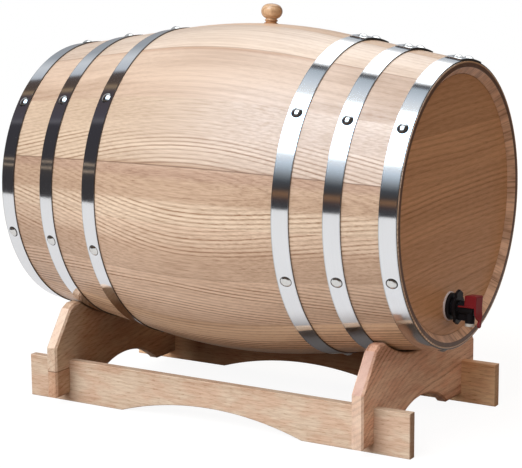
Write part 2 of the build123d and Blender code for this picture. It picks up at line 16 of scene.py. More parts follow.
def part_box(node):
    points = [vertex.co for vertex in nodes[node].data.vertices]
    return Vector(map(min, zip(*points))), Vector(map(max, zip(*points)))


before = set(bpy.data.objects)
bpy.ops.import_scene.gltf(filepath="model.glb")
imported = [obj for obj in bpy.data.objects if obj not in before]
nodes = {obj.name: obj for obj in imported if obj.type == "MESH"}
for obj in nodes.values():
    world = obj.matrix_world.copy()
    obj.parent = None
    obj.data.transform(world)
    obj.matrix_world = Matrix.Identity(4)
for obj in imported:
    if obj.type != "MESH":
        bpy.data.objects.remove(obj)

scene = bpy.context.scene
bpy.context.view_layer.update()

# %% [markdown]
# ## Where the cask lies
# Every board of the cask is described from the middle of the cask, so that
# place is needed first. Its axis lies level, straight over the origin. How far
# back it lies follows from the rear head, which sits a little way inside the
# rim. The staves are straight near their ends and bent in the middle, and two
# numbers are enough to describe that curve.

# %% The cask's middle and its profile
CASK_LENGTH = 0.560
BELLY_R = 0.208
STAVE_SLOPE = 0.159          # how fast a stave leans in towards its end
BEND_SOFTNESS = 0.059        # how gently it begins to lean
HEAD_INSET = 0.008           # from the rim to the outside of a head
AXIS_HEIGHT = 0.2804

rear_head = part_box("rear_head_board_3")[1].y
CASK_Y = rear_head + HEAD_INSET - CASK_LENGTH / 2
CASK_CENTRE = Vector((0.0, CASK_Y, AXIS_HEIGHT))
print("cask centre", CASK_CENTRE)


# %% [markdown]
# ## Arithmetic on shader sockets
# A shader graph is arithmetic drawn as boxes. It reads better as arithmetic:
# this small class wraps one output, and the usual signs add the Math nodes.
# Anything that is not plain arithmetic comes from one method, which takes the
# type of node, its settings and what goes into its sockets. Colours are three
# numbers everywhere, and that method adds the alpha.

# %% A wrapped socket
class Wire:
    """An output socket that Python's own signs can work on."""

    def __init__(self, tree, socket):
        self.tree = tree
        self.socket = socket

    def node(self, kind, settings, sockets, out=0):
        """Adds a node of that kind beside this wire and returns one output."""
        made = self.tree.nodes.new("ShaderNode" + kind)
        for name, value in settings.items():
            if name == "stops":
                set_stops(made.color_ramp, value)
            else:
                setattr(made, name, value)
        for key, value in sockets.items():
            socket = made.inputs[key]
            if isinstance(value, Wire):
                self.tree.links.new(value.socket, socket)
            elif socket.type == "RGBA":
                socket.default_value = (*value, 1.0)
            else:
                socket.default_value = value
        return Wire(self.tree, made.outputs[out])

    def math(self, operation, *others):
        sockets = dict(enumerate((self,) + others))
        return self.node("Math", {"operation": operation}, sockets)

    def __add__(self, other):
        return self.math("ADD", other)

    def __sub__(self, other):
        return self.math("SUBTRACT", other)

    def __rsub__(self, other):
        sockets = {0: other, 1: self}
        return self.node("Math", {"operation": "SUBTRACT"}, sockets)

    def __mul__(self, other):
        return self.math("MULTIPLY", other)

    def __truediv__(self, other):
        return self.math("DIVIDE", other)

    __radd__ = __add__
    __rmul__ = __mul__

    def root(self):
        return self.math("SQRT")

    def size(self):
        return self.math("ABSOLUTE")

    def rounded(self, radius):
        """The size of this wire, with its sharp turn at zero rounded off."""
        return (self * self + radius ** 2).root() - radius

    def fade(self, low, high):
        """0 below low, 1 above high, and a smooth step between them."""
        settings = {"interpolation_type": "SMOOTHSTEP"}
        return self.node("MapRange", settings, {0: self, 1: low, 2: high})

    def between(self, low, high, blur):
        """1 between low and high, and 0 outside, with soft borders."""
        above = self.fade(low - blur, low + blur)
        return above * (1.0 - self.fade(high - blur, high + blur))

    def xyz(self):
        """The three parts of a vector, as three wires."""
        split = self.node("SeparateXYZ", {}, {0: self}).socket.node
        return [Wire(self.tree, output) for output in split.outputs]

    def noise(self, scale, detail, seed):
        """Soft noise of this vector, stretched by a scale for each axis."""
        sockets = {0: self, 1: (seed, seed * 1.7, -seed), 3: scale}
        placed = self.node("Mapping", {}, sockets)
        sockets = {"Vector": placed, "Scale": 1.0, "Detail": detail}
        return self.node("TexNoise", {}, sockets)

    def mix(self, low, high, beyond=False):
        """A colour between two, by this wire, or also beyond them."""
        settings = {"data_type": "RGBA", "clamp_factor": not beyond}
        return self.node("Mix", settings, {0: self, 6: low, 7: high}, 2)

    def tinted(self, tint, amount):
        """This colour, with so much of a tint laid over it like a glaze."""
        settings = {"data_type": "RGBA", "blend_type": "MULTIPLY"}
        return self.node("Mix", settings, {0: amount, 6: self, 7: tint}, 2)

    def ramp(self, stops):
        return self.node("ValToRGB", {"stops": stops}, {0: self})


def set_stops(ramp, stops):
    """Gives a colour ramp its stops, in order, as (place, colour)."""
    while len(ramp.elements) > 1:
        ramp.elements.remove(ramp.elements[-1])
    for number, (place, colour) in enumerate(stops):
        element = ramp.elements[0] if number == 0 else ramp.elements.new(place)
        element.position = place
        grey = isinstance(colour, float)
        element.color = (colour, colour, colour, 1.0) if grey else (*colour, 1.0)


def toned(colour, tone):
    """A colour made lighter or darker by one number, or warmer by three."""
    tones = (tone,) * 3 if isinstance(tone, float) else tone
    return [part * by for part, by in zip(colour, tones)]


# %% [markdown]
# ## Node trees
# Materials and the world are built the same way: an empty graph, a few sources
# that only give, such as coordinates or the kind of ray, and one output. Every
# finish starts from a Principled shader and the place of the surface in the
# object's own coordinates, which do not slide when the cask is lifted or the
# lever is pressed.

# %% Start a material
def empty_tree(owner):
    """The node tree of a material or a world, with nothing in it."""
    owner.use_nodes = True
    owner.node_tree.nodes.clear()
    return owner.node_tree


def source(tree, kind, output):
    """One output of a new node that needs no input."""
    return Wire(tree, tree.nodes.new("ShaderNode" + kind).outputs[output])


def finish_with(kind, wire):
    """Ends a tree in its Material or World output."""
    output = wire.tree.nodes.new("ShaderNodeOutput" + kind)
    wire.tree.links.new(wire.socket, output.inputs[0])


def blank(name):
    """A new material, its shader node and its Object coordinates."""
    material = bpy.data.materials.new(name)
    tree = empty_tree(material)
    shader = tree.nodes.new("ShaderNodeBsdfPrincipled")
    finish_with("Material", Wire(tree, shader.outputs[0]))
    return material, shader, source(tree, "TexCoord", "Object")


# %% Where a surface lies and how it faces
def facing_of(place):
    """The three parts of the way a surface faces, in the object's own space."""
    return Wire(place.tree, place.socket.node.outputs["Normal"]).xyz()


def faces_along(place, axis):
    """1 on the faces that look one way or the other along an axis."""
    return facing_of(place)[axis].size().fade(0.50, 0.75)


def from_cask(place):
    """A place as three wires, measured from the middle of the cask."""
    return place.node("Mapping", {}, {0: place, 1: -CASK_CENTRE}).xyz()


def lean_in(along):
    """How far the staves have leaned in, so far from their middle."""
    return along.rounded(BEND_SOFTNESS) * STAVE_SLOPE


def over_staves(place):
    """How far a place lies outside the staves."""
    across, along, up = from_cask(place)
    return (across * across + up * up).root() + lean_in(along) - BELLY_R


# %% Finish a material and put it on
def connect(wire, shader, socket):
    wire.tree.links.new(wire.socket, shader.inputs[socket])


def bumped(height, distance, strength=1.0):
    """Turns a height into a normal that a shader can take."""
    sockets = {"Height": height, "Distance": distance, "Strength": strength}
    return height.node("Bump", {}, sockets)


def cover(names, material):
    """Gives nodes a material in every slot, and keeps their meshes as they are."""
    for name in names:
        mesh = nodes[name].data
        for index in range(len(mesh.materials)):
            mesh.materials[index] = material
        if not mesh.materials:
            mesh.materials.append(material)


# %% [markdown]
# ## How a board shows its rings
# A board is cut out of a trunk, so its rings are layers in the solid and the
# face only shows where they are cut. In the board's own frame, with one axis
# across it, one along it and one into it, a ring lies at a distance from a
# line called the heart. No tree is quite straight, so that distance also grows
# along the board, and the face shows the long pointed ovals that flat-sawn oak
# is known for. The ring number is that distance over the ring width: its
# fraction draws the ring and its whole part varies it.

# %% The frame of a board
def board_frame(across, along, centre):
    """Mapping values that turn object space into a board's own frame."""
    into = across.cross(along)
    turn = Matrix((across, along, into))
    shift = -(turn @ centre)
    return turn.to_euler("XYZ"), shift


# %% [markdown]
# ## What a board can be told
# Each board gets a short list of numbers, and what it does not say comes from
# this list. Lengths are metres. Places across and along a board are measured
# from its middle.

# %% The plain board
OAK_LIGHT = (0.700, 0.535, 0.405)
OAK_LINE = (0.440, 0.295, 0.200)

PLAIN = {
    # where the rings run
    "heart": 0.0,               # where the heart lies across the board
    "tilt": 0.0,                # how it leans along the board
    "sunk": 0.006,              # how deep it lies under the face
    "rise": 0.03,               # how fast a ring climbs along the board
    "middle": 0.0,              # the place along the board it climbs from
    "soft": 0.10,               # how round the tip of an oval is
    "ring": 0.0040,             # the width of a ring
    "sway": 0.006,              # how far a ring wanders in long waves
    "ripple": 0.0012,           # how far it wanders in short ones
    "bent": False,              # a stave, with its bend, joints and cut ends
    # how strongly the wood shows them
    "contrast": 0.7,            # the rings
    "band": None,               # the part of the width where they show best
    "outside": 0.25,            # how much of them is left beyond it
    "streak": 0.35,             # broad streaks
    "fibre": 0.34,              # fine fibres
    "fibre_size": (760.0, 52.0),
    "pore": 0.34,               # open pores
    "pore_size": (1000.0, 62.0),
    # colour and gloss
    "light": OAK_LIGHT,         # the wood between the ring lines
    "line": OAK_LINE,           # the ring lines
    "tone": (1.0, 1.0, 1.0),    # lightens, darkens or warms both
    "shine": 0.5,               # how much the finish reflects
    "dull": 0.0,                # added to its roughness
    # shades laid over the grain
    "blush": 0.0,               # soft reddish patches
    "ends": 0.0,                # shade painted towards both ends
    "drift": None,              # tints for the near end and the far: painted sheen and shade on a stave, a darker neck on the bung
    "painted_light_and_tint_span": (-0.18, 0.18),
    "stripes": (),              # darker strips along it: from, to and tint
    "inside": None,             # an inner face: where its shade fades, from
                                # and to, its tint, and the axis it looks along
    "block": None,              # a block glued on below: top, start and tint
    "sawn": None,               # faces that look along Y: amount and colour
    "end_wood": None,           # faces that look along X: amount and colour
    "slope": None,              # light painted on a saddle's sloping ears: amount and colour
    "seat": False,              # painted shade where the cask lies close over it
}

# %% [markdown]
# ## The grain
# A ring of oak starts with the open pores of spring, which show as a dark line
# with a sharp inner side, and it pales outwards. Fibres, pores and streaks are
# noise, stretched along the board. All of it adds up to one darkness, which
# later chooses the colour, the roughness and the bump.

# %% Rings, streaks, fibres and pores
RING_PROFILE = [(0.0, 0.36), (0.10, 1.0), (0.26, 0.70), (0.44, 0.20),
                (0.62, 0.0), (0.82, 0.10), (1.0, 0.36)]
PLAIN_DARKNESS = 0.18


def ring_count(board, depth, look):
    """The number of the ring that the surface cuts, with its fraction."""
    across, along = board.xyz()[:2]
    sway = board.noise((5.0, 3.0, 5.0), 2.0, look["seed"])
    ripple = board.noise((42.0, 5.0, 42.0), 2.0, look["seed"] + 3.0)
    run = along - look["middle"]
    side = across - look["heart"] - run * look["tilt"]
    side = side + (sway - 0.5) * look["sway"] + (ripple - 0.5) * look["ripple"]
    sunk = depth + look["sunk"]
    climb = run.rounded(look["soft"]) * look["rise"]
    return ((side * side + sunk * sunk).root() + climb) / look["ring"]


def stretched(board, size, detail, seed):
    """Noise of one size across the board and another along it."""
    wide, long = size
    return board.noise((wide, long, wide), detail, seed)


def grain(board, depth, look):
    """How dark the grain makes a place, and its fibres and pores."""
    seed = look["seed"]
    count = ring_count(board, depth, look)
    whole = count.math("FLOOR") + seed * 7.0
    strength = whole.node("TexWhiteNoise", {"noise_dimensions": "1D"}, {"W": whole})
    line = count.math("FRACT").ramp(RING_PROFILE)

    fibres = stretched(board, look["fibre_size"], 3.0, seed).fade(0.36, 0.64)
    pores = stretched(board, look["pore_size"], 1.0, seed + 5.0).fade(0.58, 0.68)
    streaks = stretched(board, (34.0, 1.4), 2.0, seed + 9.0).fade(0.30, 0.70)

    clear = 1.0
    if look["band"]:
        clear = board.xyz()[0].between(*look["band"], 0.003)
        clear = clear * (1.0 - look["outside"]) + look["outside"]
    rings = (line - 0.30) * (strength * strength * 1.1 + 0.45)
    rings = rings * clear * look["contrast"]
    streaks = (streaks - 0.5) * look["streak"]
    threads = (fibres - 0.5) * look["fibre"]
    dashes = pores * (line * 0.6 + 0.4) * look["pore"]
    return rings + streaks + threads + dashes + PLAIN_DARKNESS, fibres, pores


# %% [markdown]
# ## Broad shades
# Over the grain lie shades that belong to the board as a whole: patches that
# took the finish unevenly and a strip of heartwood. Others are painted light and
# shade: shade towards both ends, the sheen and shade that fall along a stave,
# and the shade on an inner face that light seldom reaches. The same tints along
# a board darken the neck of the bung.

# %% Shades laid over the grain
PATCH_PINK = (0.93, 0.82, 0.78)
END_SHADE = (0.10, 0.04, 0.02)


def broad_shades(colour, place, board, look):
    """Adds the shades that a board's list asks for."""
    across, along = board.xyz()[:2]
    if look["blush"]:
        patches = stretched(board, (60.0, 24.0), 3.0, look["seed"] + 13.0)
        colour = colour.tinted(PATCH_PINK, patches.fade(0.40, 0.62) * look["blush"])
    # painted shade towards both ends of a board
    if look["ends"]:
        colour = colour.tinted(END_SHADE, along.size().fade(0.09, 0.24) * look["ends"])
    # Painted light: the sheen and shade that fall along a stave, as tints for its
    # near and far end. On the bung the same tints darken its neck.
    if look["drift"]:
        drift = along.fade(*look["painted_light_and_tint_span"]).mix(*look["drift"])
        colour = colour.tinted(drift, 1.0)
    if look["inside"]:
        low, high, tint, axis = look["inside"]
        inward = (facing_of(place)[axis] * -1.0).fade(0.40, 0.70)
        colour = colour.tinted(tint, (1.0 - along.size().fade(low, high)) * inward)
    for low, high, tint in look["stripes"]:
        colour = colour.tinted(tint, across.between(low, high, 0.004))
    return colour


# %% [markdown]
# ## The edges of a stave
# Two staves meet in a joint, which shows as a thin brown line where the wood
# has drawn apart a little. At the ends the saw has cut across the grain: the
# end face is dark brown, and the bevel inside the rim shows short mottled
# fibres.

# %% Joints, end face and bevel
END_BROWN = (0.100, 0.050, 0.030)
BEVEL_PALE = (0.860, 0.600, 0.450)
BEVEL_BROWN = (0.300, 0.155, 0.090)
JOINT_BROWN = (0.150, 0.080, 0.045)
JOINT_FROM = 0.0060          # a joint starts so far from a stave's side and
JOINT_FULL = 0.0016          # is full from here, as angles round the cask


def stave_edges(colour, board, depth, look):
    """Adds what a stave shows at its joints and its cut ends."""
    across, along, into = board.xyz()
    turn = across.math("ARCTAN2", into)
    half = look["half_width"]
    seam = (half - JOINT_FROM, half - JOINT_FULL)
    below, above = look["seams"]
    upper = turn.fade(*seam) * above
    lower = (turn * -1.0).fade(*seam) * below

    rim = across.node("CombineXYZ", {}, {0: turn * BELLY_R, 1: depth})
    streaks = rim.noise((330.0, 34.0, 1.0), 2.0, look["seed"]).fade(0.46, 0.66)
    clouds = rim.noise((46.0, 30.0, 1.0), 2.0, look["seed"] + 2.0).fade(0.38, 0.62)
    bevel = (streaks * 0.36 + clouds * 0.42).mix(BEVEL_PALE, BEVEL_BROWN)
    end = CASK_LENGTH / 2
    end_face = along.size().fade(end - 0.0006, end - 0.0002)
    bevel = (end_face * 0.95).mix(bevel, END_BROWN)

    cut = depth.fade(0.0010, 0.0022)
    colour = cut.mix(colour, bevel)
    joint = (upper + lower) * (1.0 + cut)
    return joint.math("MINIMUM", 1.0).mix(colour, JOINT_BROWN)


# %% [markdown]
# ## The faces of the cradle
# A cut end has a colour of its own. A sloping ear has the light that falls on
# it from above painted into its colour, and the round seat has shade painted on
# it where the cask lies close over it. A saddle can have a block glued on under
# each end, with a line of glue above it.

# %% Glued blocks, ends, ears and seat
# painted shade, dark in the narrow gap under the cask
SEAT_SHADE = (0.050, 0.026, 0.016)


def cradle_faces(colour, place, board, look):
    """Adds what the faces of a rail or a saddle show."""
    if look["block"]:
        top, start, tint = look["block"]
        across, along = board.xyz()[:2]
        outer = along.size().fade(start - 0.0005, start + 0.0005)
        below = (1.0 - across.fade(top - 0.0004, top + 0.0004)) * outer
        glue = (1.0 - (across - top).size().fade(0.0003, 0.0011)) * outer
        colour = (glue * 0.75).mix(colour.tinted(tint, below), JOINT_BROWN)
    if look["sawn"]:
        amount, tint = look["sawn"]
        colour = (faces_along(place, 1) * amount).mix(colour, tint)
    if look["end_wood"]:
        amount, tint = look["end_wood"]
        colour = (faces_along(place, 0) * amount).mix(colour, tint)
    # light painted on the sloping ears, as it falls on them from above
    if look["slope"]:
        amount, tint = look["slope"]
        slope = faces_along(place, 0) * facing_of(place)[2].fade(0.08, 0.20)
        colour = (slope * amount).mix(colour, tint)
    # painted shade on the seat where the cask lies close over it
    if look["seat"]:
        near = 1.0 - over_staves(place).fade(0.0012, 0.0048)
        colour = (near * 0.88).mix(colour, SEAT_SHADE)
    return colour


# %% [markdown]
# ## A board of oak
# Now the pieces come together. The darkness chooses a colour between the wood
# and its ring lines, and it may go beyond both, because the palest streaks
# are paler than the plain wood. Dark grain is also a little rougher, and lies
# less than a tenth of a millimetre lower.

# %% Oak, from a board frame and a few numbers
SATIN = 0.37                 # the roughness of the finish over pale wood
PALEST = -0.35               # how far beyond the pale colour a streak may go
GRAIN_DEPTH = 0.00012


def oak(name, given):
    """Oak with its rings, fibres and pores, for one board or a few alike."""
    look = {**PLAIN, **given}
    material, shader, place = blank(name)
    shader.inputs["Specular IOR Level"].default_value = look["shine"]
    euler, shift = look["frame"]
    board = place.node("Mapping", {}, {0: place, 1: shift, 2: euler})
    across, along, depth = board.xyz()
    if look["bent"]:
        reach = (across * across + depth * depth).root()
        depth = BELLY_R - lean_in(along) - reach

    dark, fibres, pores = grain(board, depth, look)
    light = toned(look["light"], look["tone"])
    line = toned(look["line"], look["tone"])
    colour = dark.math("MAXIMUM", PALEST).mix(light, line, beyond=True)
    colour = broad_shades(colour, place, board, look)
    if look["bent"]:
        colour = stave_edges(colour, board, depth, look)
    colour = cradle_faces(colour, place, board, look)

    rough = SATIN + dark * 0.08 + (fibres - 0.5) * 0.10 + look["dull"]
    height = 1.0 - (dark * 0.5 + pores * 0.5)
    connect(colour, shader, "Base Color")
    connect(rough, shader, "Roughness")
    connect(bumped(height, GRAIN_DEPTH, 0.6), shader, "Normal")
    return material


# %% [markdown]
# ## Staves
# No two staves come from the same plank, so each has a material of its own.
# Its frame is turned to the middle of the stave, found from its own mesh.
# Angles are measured up from level on the side with -X, so 90 is the top.

# %% The span of a stave round the cask
def span(name):
    """Middle and half-width of a stave, as angles round the cask."""
    points = [v.co - CASK_CENTRE for v in nodes[name].data.vertices]
    mean = sum(points, Vector())
    middle = math.atan2(mean.z, -mean.x)
    offsets = []
    for point in points:
        off = math.atan2(point.z, -point.x) - middle
        offsets.append((off + math.pi) % math.tau - math.pi)
    low, high = min(offsets), max(offsets)
    return middle + (low + high) / 2, (high - low) / 2


def spot_at(angle, middle):
    """How far across a stave an angle round the cask lies, in metres."""
    return (math.radians(angle) - middle) * BELLY_R


# %% [markdown]
# ## How each stave is cut
# The staves that face the room are described one by one, from the bung down.
# Here hearts, bands and stripes are angles round the cask, in degrees, and
# `seams` says how dark the lower and the upper joint are. The others are left
# to chance. Staves 04 and 05 were sawn from one plank, so they share a seed.

# %% Staves by name
# The tints at the near and far end of the upper staves are painted sheen and shade,
# which fall unevenly along them.
STAVE_LOOKS = {
    "bung_stave": {
        "heart": 118.0, "rise": 0.05, "contrast": 0.34, "streak": 0.60,
        "fibre": 0.22, "fibre_size": (700.0, 22.0), "pore": 0.12,
        "tone": (1.04, 1.05, 1.05),
        "drift": ((0.88, 0.83, 0.76), (1.17, 1.11, 1.12)),
    },
    "stave_01": {
        "heart": 40.0, "rise": 0.06, "soft": 0.12, "ring": 0.0075,
        "contrast": 0.30, "streak": 0.75,
        "fibre": 0.22, "fibre_size": (700.0, 22.0), "pore": 0.12,
        "tone": (1.00, 1.10, 1.22), "seams": (0.38, 0.05),
    },
    "stave_02": {
        "heart": 24.0, "rise": 0.07, "soft": 0.14, "ring": 0.0085,
        "sway": 0.012, "contrast": 0.34, "streak": 0.85,
        "fibre": 0.24, "fibre_size": (700.0, 22.0), "pore": 0.14,
        "tone": (0.89, 0.92, 0.95), "seams": (0.0, 0.25),
        "stripes": [(61.6, 63.2, (0.84, 0.73, 0.66))],
        "drift": ((0.97, 1.00, 1.08), (0.95, 0.92, 0.91)),
    },
    "stave_03": {
        "heart": 11.6, "tilt": -0.015, "rise": 0.17, "soft": 0.10,
        "ring": 0.0048, "sway": 0.002,
        "contrast": 1.15, "band": (14.0, 26.0), "outside": 0.16,
        "fibre": 0.38, "fibre_size": (760.0, 26.0), "pore": 0.20,
        # its cooler tone and its tints along it paint the whitish sheen of the
        # lacquer
        "tone": (0.94, 1.00, 1.06), "seams": (0.70, 0.0),
        "stripes": [(14.5, 16.2, (0.72, 0.62, 0.55))],
        "drift": ((0.97, 1.00, 1.08), (0.95, 0.93, 0.88)),
    },
    "stave_04": {
        "seed": 11.0, "heart": 11.0, "tilt": 0.075, "rise": 0.175,
        "middle": 0.0, "soft": 0.06, "ring": 0.0052,
        "contrast": 1.35, "band": (-9.0, 3.2), "outside": 0.34,
        "fibre": 0.50, "pore": 0.55,
        "tone": (1.05, 1.11, 1.14), "ends": 0.08, "seams": (0.0, 0.55),
        "stripes": [(3.6, 14.6, (0.79, 0.72, 0.68)),
                    (10.9, 17.0, (0.88, 0.84, 0.86))],
    },
    "stave_05": {
        "seed": 11.0, "heart": 11.0, "tilt": 0.075, "rise": 0.175,
        "middle": 0.0, "soft": 0.06, "ring": 0.0052,
        "contrast": 1.4, "band": (-14.0, 8.0), "outside": 0.30,
        "fibre": 0.50, "pore": 0.50,
        "tone": (1.03, 1.05, 1.07), "ends": 0.10, "seams": (0.10, 0.0),
        "stripes": [(-24.0, -11.0, (0.88, 0.83, 0.80))],
    },
    "stave_06": {
        "heart": -50.0, "tilt": 0.03, "rise": 0.15, "middle": 0.03,
        "soft": 0.06, "ring": 0.0050,
        "contrast": 1.3, "band": (-43.0, -25.5), "outside": 0.35,
        "fibre": 0.45,
        "tone": (1.16, 1.16, 1.18), "ends": 0.14, "seams": (0.05, 0.12),
    },
    "stave_07": {
        "heart": -90.0, "rise": 0.05, "ring": 0.0070,
        "contrast": 1.60, "streak": 1.10,
        "tone": (1.30, 1.30, 1.26), "seams": (0.10, 0.12),
    },
}

# %% Every stave gets its oak
UP = Vector((0.0, 0.0, 1.0))
AHEAD = Vector((0.0, 1.0, 0.0))
SIDEWAYS = Vector((1.0, 0.0, 0.0))

random.seed(16)
stave_names = sorted(name for name in nodes if "stave" in name)
for name in stave_names:
    middle, half = span(name)
    level = random.uniform(0.93, 1.05)
    warmth = random.uniform(0.95, 1.03)
    look = {
        "heart": math.degrees(middle) + random.uniform(-14.0, 14.0),
        "rise": random.uniform(0.04, 0.22),
        "soft": random.uniform(0.06, 0.14),
        "middle": random.uniform(-0.03, 0.03),
        "contrast": random.uniform(0.5, 0.9),
        "tone": (level, level * warmth, level * warmth ** 2),
        "seed": random.uniform(0.0, 40.0),
        "sunk": random.uniform(0.004, 0.010),
        "seams": (0.25, 0.25),
        "bent": True,
        "half_width": half,
    }
    look.update(STAVE_LOOKS.get(name, {}))
    look["heart"] = spot_at(look["heart"], middle)
    if "band" in look:
        look["band"] = [spot_at(angle, middle) for angle in look["band"]]
    look["stripes"] = [(spot_at(low, middle), spot_at(high, middle), tint)
                       for low, high, tint in look.get("stripes", ())]
    across = Vector((math.sin(middle), 0.0, math.cos(middle)))
    look["frame"] = board_frame(across, AHEAD, CASK_CENTRE)
    cover([name], oak("oak_" + name, look))
print(len(stave_names), "staves,", len(STAVE_LOOKS), "of them by name")

# %% [markdown]
# ## Heads
# The head boards lie level, with their grain across the cask. They are a
# browner oak than the staves, with broader and quieter rings that wander more.
# Only the middle board of the front head shows its rings strongly. The dowels
# are of the same wood as the middle board of their head.

# %% Head boards and their dowels
HEAD_LIGHT = (0.680, 0.420, 0.255)
HEAD_LINE = (0.360, 0.190, 0.100)

head_names = sorted(name for name in nodes if "head_board" in name)
for name in head_names:
    low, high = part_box(name)
    level = random.uniform(0.96, 1.04)
    look = {
        "frame": board_frame(UP, SIDEWAYS, (low + high) / 2),
        "seed": random.uniform(0.0, 40.0),
        "heart": random.uniform(-0.07, -0.04),
        "tilt": random.uniform(-0.03, 0.03),
        "rise": random.uniform(-0.06, 0.06),
        "middle": random.uniform(-0.08, 0.08),
        "ring": random.uniform(0.0054, 0.0078),
        "sway": 0.014,
        "contrast": random.uniform(0.32, 0.46),
        "fibre": 0.22,
        "pore": 0.24,
        "streak": 0.34,
        "shine": 0.25,
        "light": HEAD_LIGHT,
        "line": HEAD_LINE,
        "tone": level,
    }
    if name == "front_head_board_3":
        look["contrast"] = 0.66
    material = oak("oak_" + name, look)
    cover([name], material)
    if name.endswith("_3"):
        cover([name.split("_")[0] + "_head_dowels"], material)
print(len(head_names), "head boards")

# %% [markdown]
# ## Cradle
# The cradle is sawn and sanded but not lacquered: paler, duller, and with the
# open pores showing as short dark dashes. Rails run along the cask and the
# saddles across it, so each pair needs a frame of its own. `glued_at` is the
# height of the joint with the blocks under a saddle.

# %% Rails and saddles
CRADLE_LIGHT = (0.655, 0.540, 0.425)
CRADLE_LINE = (0.395, 0.255, 0.165)
SAWN_BROWN = (0.235, 0.125, 0.070)
BLOCK_START = 0.118          # from the middle of a saddle to its blocks
BLOCK_TINT = (0.88, 0.75, 0.68)

CRADLE_LOOKS = {
    "left_rail": {
        "across": UP, "along": AHEAD,
        "heart": 0.050, "rise": 0.03, "contrast": 0.22,
    },
    "right_rail": {
        "across": UP, "along": AHEAD,
        "heart": -0.040, "rise": 0.03, "contrast": 0.30,
        "tone": (1.36, 1.18, 0.96),
        "inside": (0.170, 0.215, (0.31, 0.24, 0.20), 0),
    },
    "front_saddle": {
        "across": UP, "along": SIDEWAYS,
        "heart": -0.280, "tilt": 0.34, "sunk": 0.200, "rise": 0.24,
        "middle": -0.04, "soft": 0.07, "ring": 0.0072, "sway": 0.040,
        "contrast": 0.66, "streak": 0.70, "pore": 0.50,
        "light": (0.850, 0.610, 0.480), "line": (0.500, 0.300, 0.215),
        "end_wood": (0.50, (0.640, 0.560, 0.460)),
        "slope": (0.55, (0.440, 0.240, 0.215)),
    },
    "rear_saddle": {
        "across": UP, "along": SIDEWAYS,
        "heart": -0.220, "tilt": 0.20, "sunk": 0.160, "rise": 0.16,
        "ring": 0.0060, "sway": 0.030,
        "contrast": 0.34, "pore": 0.45,
        "inside": (0.080, 0.135, (0.92, 0.71, 0.55), 1),
        "glued_at": 0.045,
    },
}

for name, given in CRADLE_LOOKS.items():
    low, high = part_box(name)
    look = {
        "frame": board_frame(given["across"], given["along"], (low + high) / 2),
        "seed": random.uniform(0.0, 40.0),
        "ring": 0.0055,
        "sway": 0.016,
        "fibre": 0.40,
        "pore": 0.48,
        "pore_size": (780.0, 130.0),
        "light": CRADLE_LIGHT,
        "line": CRADLE_LINE,
        "shine": 0.3,
        "dull": 0.14,
        "blush": 0.9,
    }
    if "rail" in name:
        look["sawn"] = (0.55, SAWN_BROWN)
    else:
        look["slope"] = (0.50, (0.900, 0.740, 0.620))
        look["seat"] = True
    look.update(given)
    if "glued_at" in given:
        top = given["glued_at"] - (low.z + high.z) / 2
        look["block"] = (top, BLOCK_START, BLOCK_TINT)
    cover([name], oak("oak_" + name, look))
print(len(CRADLE_LOOKS), "pieces of the cradle")

# %% [markdown]
# ## Bung
# The bung is turned from one piece with its grain standing, and lacquered. Its
# neck is tinted darker than its knob.

# %% The turned bung
KNOB_HEIGHT = 0.0235         # from the top of the bung down to its neck

low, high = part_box("bung")
neck = (high - low).z / 2 - KNOB_HEIGHT
look = {
    "frame": board_frame(SIDEWAYS, UP, (low + high) / 2),
    "seed": 4.0, "heart": 0.004, "sunk": 0.003, "rise": 0.05,
    "ring": 0.0026, "sway": 0.003,
    "contrast": 1.00, "fibre": 0.50, "pore": 0.50, "dull": -0.14,
    "light": (0.610, 0.410, 0.250), "line": (0.300, 0.160, 0.080),
    "drift": ((0.66, 0.50, 0.38), (1.0, 1.0, 1.0)),
    "painted_light_and_tint_span": (neck - 0.001, neck + 0.007),
}
cover(["bung"], oak("lacquered_bung", look))
print("bung, neck", round(neck, 4), "over its middle")


# %% [markdown]
# ## Steel
# Rolled strip is a mirror with a direction: fine lines run round the hoop and
# smear what it reflects. The lines are noise stretched round the cask and
# squeezed across the strip, in the roughness and in a very low bump. Shade is
# painted dark where it falls: on the cut edges, a little along the borders of
# the strip, and in a thin ring round every nail and rivet, and the steel is
# rougher there too.

# %% Where the heads sit on a hoop
SAME_HEAD = math.radians(2.0)        # vertices closer than this share a head


def heads_on(hoop):
    """Turns round the cask of the nails and rivets that go through a hoop."""
    low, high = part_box(hoop)
    turns = []
    for name in ("hoop_nails", "hoop_rivets"):
        for vertex in nodes[name].data.vertices:
            if low.y < vertex.co.y < high.y:
                point = vertex.co - CASK_CENTRE
                turns.append(math.atan2(point.x, point.z))
    turns.sort()
    groups = [[turns[0]]]
    for turn in turns[1:]:
        if turn - groups[-1][-1] < SAME_HEAD:
            groups[-1].append(turn)
        else:
            groups.append([turn])
    return [(group[0] + group[-1]) / 2 for group in groups]


# %% Rolled strip
HEAD_R = 0.0064              # the radius of a nail's or rivet's head
STRIP_STEEL = (0.86, 0.87, 0.88)
STRIP_ROUGH = 0.09
LINES = 0.20                 # how deep the rolled lines are, and how deep the
WAVES = 4.0                  # slow waves of the strip, in parts of SKIN_DEPTH
SKIN_DEPTH = 0.00004
# painted shade on the cut edges, the borders and round the heads
PAINTED_SHADE = (0.050, 0.045, 0.042)


